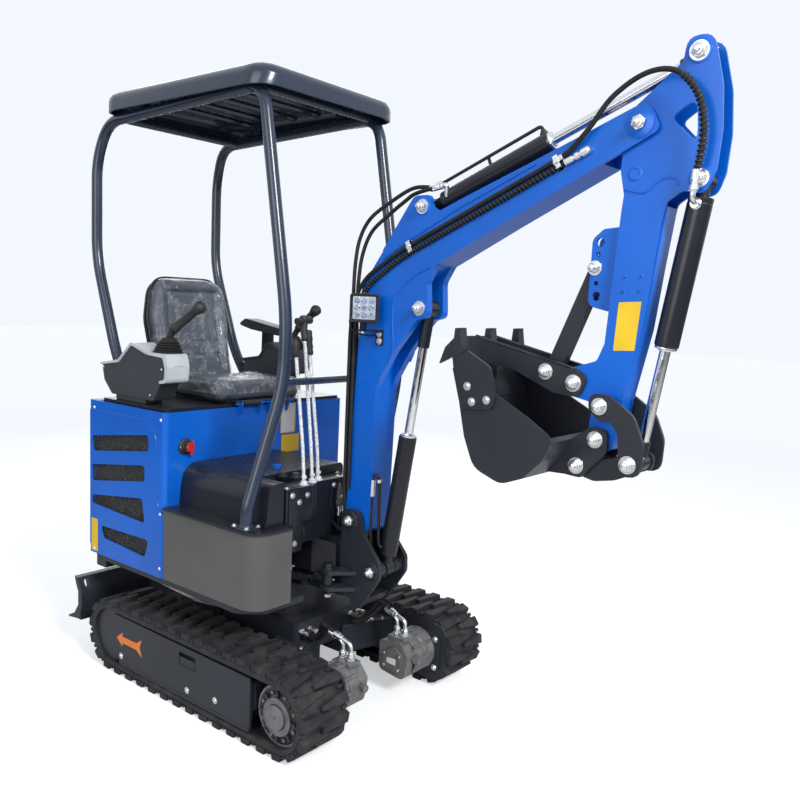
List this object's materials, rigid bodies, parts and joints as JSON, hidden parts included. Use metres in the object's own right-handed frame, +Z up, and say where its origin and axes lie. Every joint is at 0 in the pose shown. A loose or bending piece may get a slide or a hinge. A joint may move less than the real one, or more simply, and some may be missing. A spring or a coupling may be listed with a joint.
{
  "type": "mini excavator",
  "caption": "Small tracked digger with an open canopy, swinging boom, arm, toothed bucket with thumb, slewing body and rear blade.",
  "frame": {"origin": "on the ground, in the middle of the machine's bounding box", "axes": "+X from the body towards the boom, +Y to the operator's left, +Z up"},
  "size_m": [2.4506, 0.98, 2.235],
  "materials": {
    "blue_paint": "gloss",
    "charcoal_paint": "satin",
    "black_paint": "satin",
    "grey_paint": "satin",
    "canopy_paint": "gloss",
    "chrome": "polished",
    "zinc": "satin",
    "cast_steel": "matte",
    "track_rubber": "matte",
    "hose_rubber": "matte",
    "vinyl": "satin",
    "black_plastic": "matte",
    "grey_plastic": "matte",
    "lamp_glass": "gloss"
  },
  "bodies": {
    "undercarriage": {"carrier": "charcoal_paint", "track_frame_R": "charcoal_paint", "track_frame_L": "charcoal_paint", "track_belt_R": "track_rubber", "track_belt_L": "track_rubber", "travel_motor_R": "cast_steel", "travel_motor_L": "cast_steel"},
    "blade": {"dozer_blade": "charcoal_paint"},
    "blade_barrel": {"blade_cylinder_barrel": "black_paint"},
    "blade_rod": {"blade_cylinder_rod": "chrome"},
    "house": {"slew_platform": "charcoal_paint", "engine_box": "blue_paint", "engine": "cast_steel", "side_panel_R": "grey_paint", "side_panel_L": "grey_paint", "floor_plate": "black_paint", "tank_cover": "black_paint", "lever_console": "black_paint", "travel_lever_R": "zinc", "travel_lever_L": "zinc", "blade_lever": "zinc", "canopy_frame": "canopy_paint", "canopy_roof": "canopy_paint", "swing_cylinder_barrel": "black_paint"},
    "hood": {"engine_hood": "blue_paint"},
    "deck": {"seat_deck": "black_paint", "seat_cushion": "vinyl", "seat_back": "vinyl", "control_pod_R": "grey_plastic", "control_pod_L": "grey_plastic", "joystick_R": "black_plastic", "joystick_L": "black_plastic"},
    "bracket": {"swing_bracket": "charcoal_paint"},
    "swing_rod": {"swing_cylinder_rod": "chrome"},
    "boom_arm": {"boom": "blue_paint", "boom_hoses": "hose_rubber", "work_light": "lamp_glass"},
    "boom_barrel": {"boom_cylinder_barrel": "black_paint"},
    "boom_rod": {"boom_cylinder_rod": "chrome"},
    "arm_barrel": {"arm_cylinder_barrel": "black_paint"},
    "arm_rod": {"arm_cylinder_rod": "chrome"},
    "dipper": {"arm": "blue_paint", "thumb": "charcoal_paint", "thumb_stay": "charcoal_paint"},
    "bucket_barrel": {"bucket_cylinder_barrel": "black_paint"},
    "bucket_rod": {"bucket_cylinder_rod": "chrome"},
    "rocker_arm": {"rocker": "charcoal_paint"},
    "link": {"bucket_link": "charcoal_paint"},
    "bucket_body": {"bucket": "charcoal_paint"}
  },
  "joints": [
    {"name": "slew", "type": "hinge", "parent": "undercarriage", "child": "house", "pos_m": [-0.342, 0, 0.352], "axis": [0, 0, 1], "continuous": true},
    {"name": "boom_swing", "type": "hinge", "parent": "house", "child": "bracket", "pos_m": [-0.022, 0, 0.5], "axis": [0, 0, 1], "range_deg": [-45, 45]},
    {"name": "swing_rod_slide", "type": "slide", "parent": "house", "child": "swing_rod", "axis": [0.9788, 0.2049, 0], "range_m": [-0.1, 0.1]},
    {"name": "boom_lift", "type": "hinge", "parent": "bracket", "child": "boom_arm", "pos_m": [0.052, 0, 0.694], "axis": [0, -1, 0], "range_deg": [-85, 4]},
    {"name": "boom_barrel_turn", "type": "hinge", "parent": "bracket", "child": "boom_barrel", "pos_m": [0.159, 0, 0.531], "axis": [0, -1, 0], "range_deg": [-82, 5]},
    {"name": "boom_rod_slide", "type": "slide", "parent": "boom_barrel", "child": "boom_rod", "axis": [0.1529, 0, 0.9882], "range_m": [-0.265, 0.015]},
    {"name": "arm_swing", "type": "hinge", "parent": "boom_arm", "child": "dipper", "pos_m": [1.013, 0, 1.964], "axis": [0, 1, 0], "range_deg": [-100, 3]},
    {"name": "arm_barrel_turn", "type": "hinge", "parent": "boom_arm", "child": "arm_barrel", "pos_m": [0.29, 0, 1.776], "axis": [0, 1, 0], "range_deg": [-12, 2]},
    {"name": "arm_rod_slide", "type": "slide", "parent": "arm_barrel", "child": "arm_rod", "axis": [0.9243, 0, 0.3817], "range_m": [-0.32, 0.012]},
    {"name": "bucket_curl", "type": "hinge", "parent": "dipper", "child": "bucket_body", "pos_m": [0.95, 0, 1.104], "axis": [0, 1, 0], "range_deg": [-120, 0]},
    {"name": "rocker_turn", "type": "hinge", "parent": "dipper", "child": "rocker_arm", "pos_m": [0.964, 0, 1.201], "axis": [0, 1, 0], "range_deg": [-68, 1]},
    {"name": "link_turn", "type": "hinge", "parent": "rocker_arm", "child": "link", "pos_m": [1.058, 0, 1.05], "axis": [0, 1, 0], "range_deg": [-1, 18]},
    {"name": "bucket_barrel_turn", "type": "hinge", "parent": "dipper", "child": "bucket_barrel", "pos_m": [1.179, 0, 1.814], "axis": [0, 1, 0], "range_deg": [-8, 1]},
    {"name": "bucket_rod_slide", "type": "slide", "parent": "bucket_barrel", "child": "bucket_rod", "axis": [-0.1564, 0, -0.9877], "range_m": [-0.185, 0.005]},
    {"name": "blade_lift", "type": "hinge", "parent": "undercarriage", "child": "blade", "pos_m": [-0.674, 0, 0.196], "axis": [0, 1, 0], "range_deg": [-38, 3]},
    {"name": "blade_barrel_turn", "type": "hinge", "parent": "undercarriage", "child": "blade_barrel", "pos_m": [-0.608, 0, 0.306], "axis": [0, 1, 0], "range_deg": [-28, 4]},
    {"name": "blade_rod_slide", "type": "slide", "parent": "blade_barrel", "child": "blade_rod", "axis": [-0.9728, 0, -0.2316], "range_m": [-0.01, 0.055]},
    {"name": "deck_tilt", "type": "hinge", "parent": "house", "child": "deck", "pos_m": [-0.492, 0, 1.053], "axis": [0, 1, 0], "range_deg": [0, 45]},
    {"name": "hood_lift", "type": "hinge", "parent": "house", "child": "hood", "pos_m": [-0.996, 0, 1.014], "axis": [0, 1, 0], "range_deg": [0, 80]}
  ],
  "couplings": [
    {"joint": "swing_rod_slide", "follows": "boom_swing", "m_per_rad": 0.1179},
    {"joint": "boom_barrel_turn", "follows": "boom_lift", "ratio": 0.9432},
    {"joint": "boom_rod_slide", "follows": "boom_lift", "m_per_rad": 0.1745},
    {"joint": "arm_barrel_turn", "follows": "arm_swing", "ratio": 0.1039},
    {"joint": "arm_rod_slide", "follows": "arm_swing", "m_per_rad": 0.1765},
    {"joint": "rocker_turn", "follows": "bucket_curl", "ratio": 0.5534},
    {"joint": "link_turn", "follows": "bucket_curl", "ratio": -0.1348},
    {"joint": "bucket_barrel_turn", "follows": "bucket_curl", "ratio": 0.0519},
    {"joint": "bucket_rod_slide", "follows": "bucket_curl", "m_per_rad": 0.0853},
    {"joint": "blade_barrel_turn", "follows": "blade_lift", "ratio": 0.6778},
    {"joint": "blade_rod_slide", "follows": "blade_lift", "m_per_rad": -0.0728}
  ]
}
